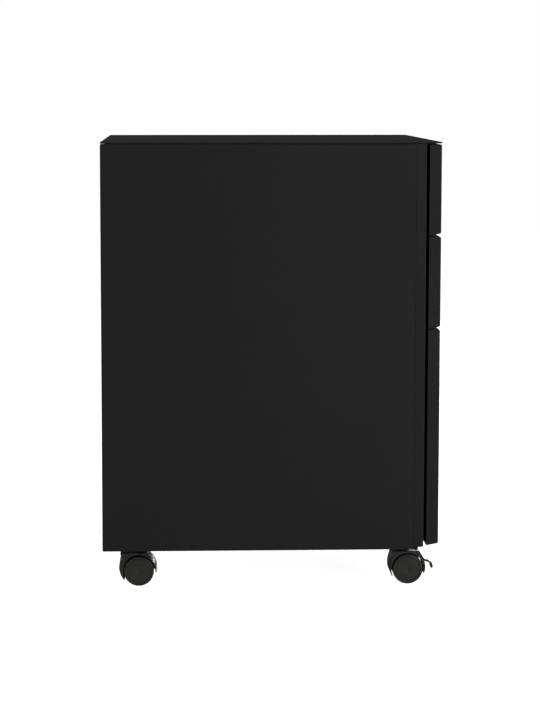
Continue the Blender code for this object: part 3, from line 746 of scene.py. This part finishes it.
def screw_mesh():
    """A pan-head screw along +X, with a cross recess."""
    radius = SCREW_RADIUS
    head = [(0, 0), (0, radius), (0.0006, radius), (0.0012, radius * 0.93),
            (0.0017, radius * 0.78), (SCREW_HEIGHT, radius * 0.45), (SCREW_HEIGHT, 0)]
    bars = []
    for turn in (0, math.pi / 2):
        bar = slab((SCREW_HEIGHT - RECESS_DEPTH, -RECESS_REACH, -RECESS_HALF),
                   (SCREW_HEIGHT + RECESS_PAST, RECESS_REACH, RECESS_HALF))
        bmesh.ops.transform(bar, matrix=Matrix.Rotation(turn, 4, "X"), verts=bar.verts)
        bars.append((bar, "DIFFERENCE"))
    return combined("screw", lathe(head, segments=28), bars)


def rivet_mesh(height):
    """A pop rivet along +X: a low dome with the broken pin's dimple."""
    radius = RIVET_RADIUS
    dimple = height * 0.55
    head = [(0, 0), (0, radius), (height * 0.35, radius * 0.97), (height * 0.75, radius * 0.75),
            (height, radius * 0.42), (dimple, radius * 0.34), (dimple, 0)]
    return to_mesh(lathe(head, segments=24), "rivet")


def fasten(name, fastener, spots, axis, finishes, slot, body):
    """One piece of identical fasteners, each at its spot with its head towards the axis."""
    turned = pointing(axis)
    parts = [(fastener, Matrix.Translation(Vector(spot)) @ turned) for spot in spots]
    place(name, joined(name, parts), finishes, slot, body)


def far_side(low, high):
    """How far a node reaches from the middle plane, on its own side."""
    return max(abs(low.x), abs(high.x))


def make_fastenings(finishes, screw):
    rivet = rivet_mesh(RIVET_HEIGHT)
    flush = rivet_mesh(FLUSH_HEIGHT)
    for side, sign in SIDES:
        inwards = "X" if sign < 0 else "-X"
        posts = (middle_of(f"front_stile_{side}").y, middle_of(f"rear_upright_{side}").y)
        for number in DRAWERS:
            low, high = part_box(f"slide_{number}_outer_{side}")
            centre_z = (low.z + high.z) / 2
            web = sign * (far_side(low, high) - SLIDE_SHEET)
            spots = [(web, y, centre_z + up)
                     for y in posts for up in (-SLIDE_RIVET_RISE, SLIDE_RIVET_RISE)]
            fasten(f"slide_{number}_rivets_{side}", flush, spots, inwards, finishes, "zinc",
                   "carcass")
            low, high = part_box(f"drawer_box_{number}")
            wall = sign * (high.x - SHEET)
            spots = [(wall, y, centre_z)
                     for y in spread_along(low.y + BOX_RIVET_FRONT, high.y - BOX_RIVET_BACK, 3)]
            fasten(f"box_{number}_rivets_{side}", rivet, spots, inwards, finishes, "zinc",
                   f"drawer_{number}")
        low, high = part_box(f"hanging_rail_{side}")
        wall = sign * (far_side(low, high) - SHEET)
        spots = [(wall, y, low.z + RAIL_RIVET_HEIGHT)
                 for y in spread_along(low.y + RAIL_RIVET_MARGIN, high.y - RAIL_RIVET_MARGIN, 4)]
        fasten(f"rail_rivets_{side}", flush, spots, inwards, finishes, "zinc", "drawer_3")
    for number in DRAWERS:
        low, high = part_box(f"drawer_box_{number}")
        spots = [(x, low.y + SHEET, z) for x in (-FACE_SCREW_X, FACE_SCREW_X)
                 for z in (low.z + FACE_SCREW_MARGIN, high.z - FACE_SCREW_MARGIN)]
        fasten(f"face_{number}_screws", screw, spots, "Y", finishes, "zinc", f"drawer_{number}")
    for end in ("lower", "upper"):
        low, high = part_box(f"lock_bar_guide_{end}")
        spots = [(x, high.y - SHEET, (low.z + high.z) / 2)
                 for x in (low.x + GUIDE_RIVET_MARGIN, high.x - GUIDE_RIVET_MARGIN)]
        fasten(f"guide_rivets_{end}", rivet, spots, "-Y", finishes, "zinc", "carcass")


# Slides


def ball_mesh():
    angles = [math.pi * (i / BALL_STEPS - 0.5) for i in range(1, BALL_STEPS)]
    profile = [(BALL_RADIUS * math.sin(a), BALL_RADIUS * math.cos(a)) for a in angles]
    profile = [(-BALL_RADIUS, 0)] + profile + [(BALL_RADIUS, 0)]
    return to_mesh(lathe(profile, segments=2 * BALL_STEPS), "ball", angle=80)


def ball_cage(name, sign, outer, inner, length, body, finishes):
    """A cage between two slide members: a web with lips at its top and bottom, and their balls."""
    outer_low, outer_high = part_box(outer)
    inner_low, inner_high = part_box(inner)
    outer_near, outer_far = sorted((abs(outer_low.x), abs(outer_high.x)))
    inner_far = far_side(inner_low, inner_high)
    ball_x = (outer_near + min(inner_far, outer_far)) / 2 + BALL_OUTWARDS
    web_x = (inner_far + outer_far - SLIDE_SHEET) / 2
    front = outer_low.y + CAGE_SETBACK
    back = front + length
    gap = (outer_high.z - SLIDE_SHEET - inner_high.z) / 2
    rows = (inner_high.z + gap, inner_low.z - gap)
    lips = bmesh.new()
    for row in rows:
        add_shape(lips, slab((sign * (ball_x - CAGE_LIP), front, row - CAGE_SHEET / 2),
                             (sign * web_x, back, row + CAGE_SHEET / 2)))
    web = slab((sign * (web_x - CAGE_SHEET), front, rows[1]), (sign * web_x, back, rows[0]))
    cage = combined(name + "_cage", lips, [(web, "UNION")])
    place(name + "_cage", cage, finishes, "zinc", body)
    ball = ball_mesh()
    count = max(3, int(length / BALL_SPACING))
    spots = [(sign * ball_x, y, row) for row in rows
             for y in spread_along(front + BALL_MARGIN, back - BALL_MARGIN, count)]
    balls = joined(name + "_balls", [(ball, Matrix.Translation(Vector(spot))) for spot in spots])
    place(name + "_balls", balls, finishes, "steel", body)


def make_cages(finishes):
    for side, sign in SIDES:
        for number in (1, 2):
            ball_cage(f"slide_{number}_{side}", sign, f"slide_{number}_outer_{side}",
                      f"slide_{number}_inner_{side}", SHORT_CAGE, "carcass", finishes)
        ball_cage(f"slide_3_outer_{side}", sign, f"slide_3_outer_{side}",
                  f"slide_3_middle_{side}", LONG_CAGE, "carcass", finishes)
        ball_cage(f"slide_3_inner_{side}", sign, f"slide_3_middle_{side}",
                  f"slide_3_inner_{side}", LONG_CAGE, "slide_3_middle", finishes)


# Lock


def barrel_mesh(depth):
    """The lock's barrel: a flat head, then a thread."""
    radius = BARREL_RADIUS
    profile = [(0.0002, BARREL_BORE), (0, BARREL_BORE + 0.0004), (0, radius - 0.0006),
               (0.0006, radius), (BARREL_HEAD, radius)]
    threaded = depth - THREAD_START - THREAD_END
    pitch = threaded / THREADS
    for i in range(THREADS):
        start = THREAD_START + threaded * i / THREADS
        profile += [(start, radius - 0.0007), (start + pitch * 0.5, radius - 0.0002)]
    profile += [(depth, radius - 0.0009), (depth, BARREL_BORE)]
    return to_mesh(lathe(profile, "Y", 48), "lock_barrel", angle=30)


def nut_mesh():
    """The hexagon nut behind the drawer face."""
    bore = BARREL_RADIUS - 0.0004
    chamfer = NUT_RADIUS * 0.95
    profile = [(0.0026, bore), (0.0026, chamfer), (0.0030, NUT_RADIUS), (0.0056, NUT_RADIUS),
               (0.0060, chamfer), (0.0060, bore)]
    return to_mesh(lathe(profile, "Y", 6), "lock_nut", angle=20)


def core_mesh(length):
    """The plug: a rounded face with a keyway."""
    profile = [(0.0006, 0), (0.0004, 0.0040), (0.0, 0.0050), (0.0, 0.0056),
               (0.0004, PLUG_RADIUS), (length, PLUG_RADIUS), (length, 0)]
    keyway = slab((-0.0006, -0.001, -0.0040), (0.0006, 0.006, 0.0040))
    ward = slab((-0.0012, -0.001, -0.0012), (0.0007, 0.006, 0.0002))
    cuts = [(keyway, "DIFFERENCE"), (ward, "DIFFERENCE")]
    return combined("lock_core", lathe(profile, "Y", 48), cuts)


def make_lock(finishes, screw):
    low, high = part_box("lock_housing")
    plug_low, plug_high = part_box("lock_plug")
    centre = (plug_low + plug_high) / 2
    at = Vector((centre.x, low.y, centre.z))
    place("lock_barrel", barrel_mesh(high.y - low.y), finishes, "chrome", "drawer_1", at, 0.0,
          ["lock_housing"])
    place("lock_nut", nut_mesh(), finishes, "steel", "drawer_1", at)
    plug_at = Vector((centre.x, plug_low.y, centre.z))
    place("lock_core", core_mesh(plug_high.y - plug_low.y), finishes, "chrome", "lock_key",
          plug_at, 0.0, ["lock_plug"])
    cam_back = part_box("lock_cam")[1].y
    fasten("lock_cam_screw", screw, [(centre.x, cam_back, centre.z)], "Y", finishes, "steel",
           "lock_key")


# Studio


def make_camera():
    data = bpy.data.cameras.new("camera")
    data.lens = LENS
    data.sensor_width = SENSOR_WIDTH
    data.shift_x, data.shift_y = SHIFT
    camera = bpy.data.objects.new("camera", data)
    bpy.context.collection.objects.link(camera)
    camera.location = CAMERA_AT
    level = math.cos(PITCH)
    forward = Vector((math.cos(YAW) * level, -math.sin(YAW) * level, -math.sin(PITCH)))
    camera.rotation_mode = "QUATERNION"
    camera.rotation_quaternion = forward.to_track_quat("-Z", "Y")
    bpy.context.scene.camera = camera


def make_floor():
    """White paper that glows to the camera, so that it shows as bright as the backdrop."""
    mesh = bpy.data.meshes.new("floor")
    reach = FLOOR_REACH
    corners = [(-reach, -reach, 0), (reach, -reach, 0), (reach, reach, 0), (-reach, reach, 0)]
    mesh.from_pydata(corners, [], [(0, 1, 2, 3)])
    floor = bpy.data.objects.new("floor", mesh)
    bpy.context.collection.objects.link(floor)
    material, tree, shader = new_finish("floor_paper", metallic=0.0, specular=FLOOR_SPECULAR)
    shader.inputs["Base Color"].default_value = FLOOR_COLOUR
    shader.inputs["Roughness"].default_value = 0.9
    glow = add_node(tree, "Emission")
    glow.inputs["Strength"].default_value = FLOOR_GLOW
    both = add_node(tree, "AddShader")
    tree.links.new(shader.outputs["BSDF"], both.inputs[0])
    tree.links.new(glow.outputs["Emission"], both.inputs[1])
    output = tree.nodes["Material Output"]
    show_to_camera(tree, both.outputs["Shader"], shader.outputs["BSDF"], output)
    mesh.materials.append(material)


def make_world():
    """A white backdrop that lights the cabinet less brightly than it shows."""
    world = bpy.data.worlds.new("studio")
    bpy.context.scene.world = world
    world.use_nodes = True
    tree = world.node_tree
    surround = tree.nodes["Background"]
    surround.inputs["Strength"].default_value = SURROUND
    backdrop = add_node(tree, "Background")
    backdrop.inputs["Strength"].default_value = BACKDROP
    for background in (surround, backdrop):
        background.inputs["Color"].default_value = (1, 1, 1, 1)
    output = tree.nodes["World Output"]
    show_to_camera(tree, backdrop.outputs["Background"], surround.outputs["Background"], output)


def show_to_camera(tree, shown, otherwise, output):
    """Gives the output one shader for what the camera sees itself, and another for the rest."""
    seen = add_node(tree, "LightPath")
    either = add_node(tree, "MixShader")
    tree.links.new(seen.outputs["Is Camera Ray"], either.inputs["Fac"])
    tree.links.new(otherwise, either.inputs[1])
    tree.links.new(shown, either.inputs[2])
    tree.links.new(either.outputs["Shader"], output.inputs["Surface"])


def make_light(name, at, size, power):
    data = bpy.data.lights.new(name, "AREA")
    data.shape = "DISK"
    data.size = size
    data.energy = power
    light = bpy.data.objects.new(name, data)
    bpy.context.collection.objects.link(light)
    light.location = at
    light.visible_camera = False
    light.rotation_mode = "QUATERNION"
    light.rotation_quaternion = (LIGHTS_AIM - Vector(at)).to_track_quat("-Z", "Y")


def make_studio():
    bpy.context.scene.view_settings.view_transform = "Standard"
    make_world()
    make_floor()
    for light in LIGHTS:
        make_light(*light)


def main():
    make_camera()
    finishes = make_finishes()
    finish_frame(finishes)
    screw = screw_mesh()
    make_casters(finishes, screw)
    make_fastenings(finishes, screw)
    make_cages(finishes)
    make_lock(finishes, screw)
    make_studio()


main()
